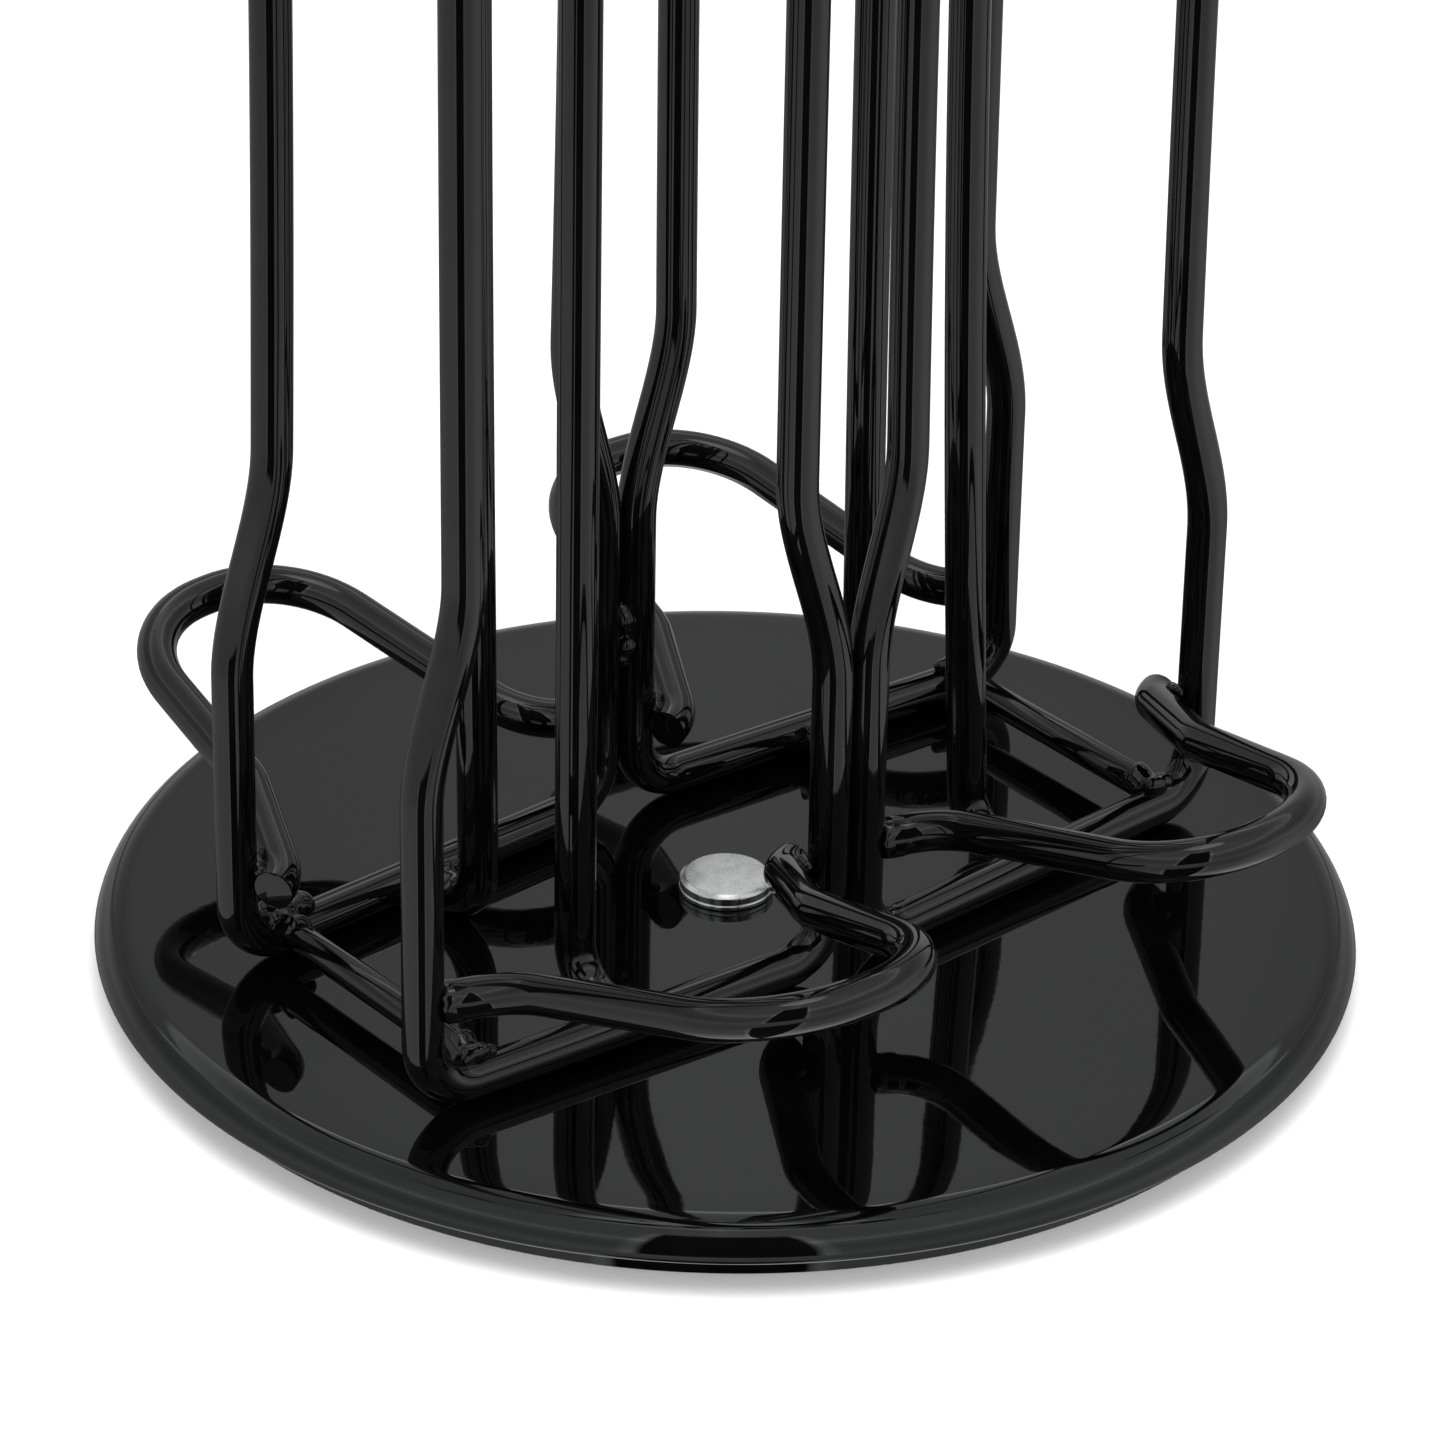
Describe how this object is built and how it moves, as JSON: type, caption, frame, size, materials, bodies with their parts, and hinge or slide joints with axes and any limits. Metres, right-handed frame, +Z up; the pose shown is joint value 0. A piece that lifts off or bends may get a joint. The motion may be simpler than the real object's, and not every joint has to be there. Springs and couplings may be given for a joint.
{
  "type": "revolving capsule rack",
  "caption": "Revolving coffee capsule rack: a black coated wire rack with four upright lanes and an exit loop below each, on a round steel turntable with a plated centre rivet.",
  "frame": {"origin": "on the turning axis, on the surface that the rack stands on", "axes": "+Z up along the turning axis; +X along the long side of the rack, so that two lanes face -Y and two face +Y"},
  "size_m": [0.1752, 0.1752, 0.3648],
  "materials": {
    "black_coat": "gloss black powder coat on steel wire and sheet",
    "zinc_plate": "bright zinc plate with faint turned marks",
    "bearing_steel": "polished bearing steel",
    "foot_rubber": "matt black rubber",
    "cage_plastic": "natural nylon"
  },
  "bodies": {
    "base": {"bottom_plate": "black_coat", "centre_rivet": "zinc_plate", "rivet_tail_washer": "zinc_plate", "pivot_bush": "bearing_steel", "foot_1": "foot_rubber", "foot_2": "foot_rubber", "foot_3": "foot_rubber", "foot_4": "foot_rubber"},
    "turntable": {"top_plate": "black_coat", "lane_frame_front_left": "black_coat", "lane_frame_front_right": "black_coat", "lane_frame_back_left": "black_coat", "lane_frame_back_right": "black_coat", "exit_loop_front_left": "black_coat", "exit_loop_front_right": "black_coat", "exit_loop_back_left": "black_coat", "exit_loop_back_right": "black_coat", "inner_frame_left": "black_coat", "inner_frame_right": "black_coat", "base_cross_wire_left": "black_coat", "base_cross_wire_right": "black_coat", "top_arch_left_outer": "black_coat", "top_arch_left_inner": "black_coat", "top_arch_right_inner": "black_coat", "top_arch_right_outer": "black_coat", "top_tie_wire": "black_coat"},
    "bearing": {"ball_cage": "cage_plastic", "ball_1": "bearing_steel", "ball_2": "bearing_steel", "ball_3": "bearing_steel", "ball_4": "bearing_steel", "ball_5": "bearing_steel", "ball_6": "bearing_steel", "ball_7": "bearing_steel", "ball_8": "bearing_steel"}
  },
  "joints": [
    {"name": "turntable_spin", "type": "hinge", "parent": "base", "child": "turntable", "pos_m": [0, 0, 0.0095], "axis": [0, 0, 1], "continuous": true},
    {"name": "bearing_roll", "type": "hinge", "parent": "base", "child": "bearing", "pos_m": [0, 0, 0.00655], "axis": [0, 0, 1], "continuous": true}
  ],
  "couplings": [
    {"joint": "bearing_roll", "follows": "turntable_spin", "ratio": 0.5}
  ]
}
